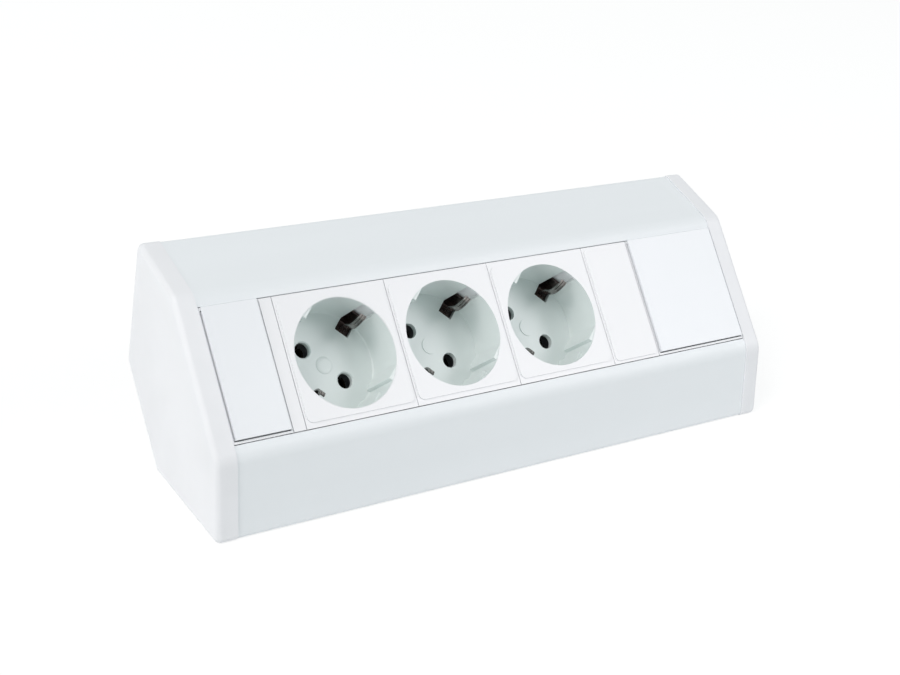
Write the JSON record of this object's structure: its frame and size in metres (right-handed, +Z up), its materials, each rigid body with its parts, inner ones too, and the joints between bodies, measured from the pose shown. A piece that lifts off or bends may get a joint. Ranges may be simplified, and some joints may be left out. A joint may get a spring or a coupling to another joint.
{
  "type": "desk power strip",
  "caption": "Sloping-faced desk power strip in an extruded housing with end caps, round earthed sockets, a blank module and raised push keys.",
  "frame": {"origin": "middle of the underside of the bounding box", "axes": "+X along the strip to the right as seen from the front, +Y to the rear, +Z up; the socket face slopes at 45 degrees"},
  "size_m": [0.246, 0.0746, 0.0747],
  "materials": {
    "housing": "satin white powder coat",
    "end_cap": "fine satin moulded white",
    "module_white": "smooth moulded white",
    "key_white": "smooth moulded white",
    "base_grey": "moulded light grey",
    "earth_steel": "dark plated spring steel",
    "contact_brass": "bare brass",
    "screw_steel": "zinc plated",
    "spring_steel": "bright wire",
    "grommet_rubber": "matt black",
    "block_plastic": "moulded ivory",
    "line_insulation": "brown sleeve",
    "neutral_insulation": "blue sleeve",
    "earth_insulation": "green and yellow sleeve"
  },
  "bodies": {
    "strip": {"housing_profile": "housing", "left_end_cap": "end_cap", "right_end_cap": "end_cap", "cable_grommet": "grommet_rubber", "blank_module": "module_white", "filler_strip": "module_white", "terminal_block": "block_plastic", "terminal_screws": "screw_steel", "line_wire": "line_insulation", "neutral_wire": "neutral_insulation", "earth_wire": "earth_insulation", "socket_1_face": "module_white", "socket_1_base": "base_grey", "socket_1_earth_strap": "earth_steel", "socket_1_contacts": "contact_brass", "socket_1_screws": "screw_steel", "socket_2_face": "module_white", "socket_2_base": "base_grey", "socket_2_earth_strap": "earth_steel", "socket_2_contacts": "contact_brass", "socket_2_screws": "screw_steel", "socket_3_face": "module_white", "socket_3_base": "base_grey", "socket_3_earth_strap": "earth_steel", "socket_3_contacts": "contact_brass", "socket_3_screws": "screw_steel", "narrow_key_frame": "module_white", "narrow_return_spring": "spring_steel", "narrow_switch_body": "base_grey", "narrow_switch_contacts": "contact_brass", "wide_key_frame": "module_white", "wide_return_spring": "spring_steel", "wide_switch_body": "base_grey", "wide_switch_contacts": "contact_brass"},
    "narrow_key": {"narrow_key": "key_white"},
    "narrow_plunger": {"narrow_plunger": "module_white", "narrow_contact_bridge": "contact_brass"},
    "wide_key": {"wide_key": "key_white"},
    "wide_plunger": {"wide_plunger": "module_white", "wide_contact_bridge": "contact_brass"}
  },
  "joints": [
    {"name": "narrow_key_press", "type": "hinge", "parent": "strip", "child": "narrow_key", "pos_m": [-0.10375, 0.00728, 0.05904], "axis": [1, 0, 0], "range_deg": [0, 2.6], "stiffness_Nm_per_rad": 2.5, "springref_deg": -1.15},
    {"name": "narrow_plunger_slide", "type": "slide", "parent": "strip", "child": "narrow_plunger", "axis": [0, 0.7071, -0.7071], "range_m": [0, 0.0013], "deforming": ["narrow_return_spring"]},
    {"name": "wide_key_press", "type": "hinge", "parent": "strip", "child": "wide_key", "pos_m": [0.0925, 0.00728, 0.05904], "axis": [1, 0, 0], "range_deg": [0, 2.6], "stiffness_Nm_per_rad": 2.5, "springref_deg": -1.15},
    {"name": "wide_plunger_slide", "type": "slide", "parent": "strip", "child": "wide_plunger", "axis": [0, 0.7071, -0.7071], "range_m": [0, 0.0013], "deforming": ["wide_return_spring"]}
  ],
  "couplings": [
    {"joint": "narrow_plunger_slide", "follows": "narrow_key_press", "m_per_rad": 0.0285},
    {"joint": "wide_plunger_slide", "follows": "wide_key_press", "m_per_rad": 0.0285}
  ]
}
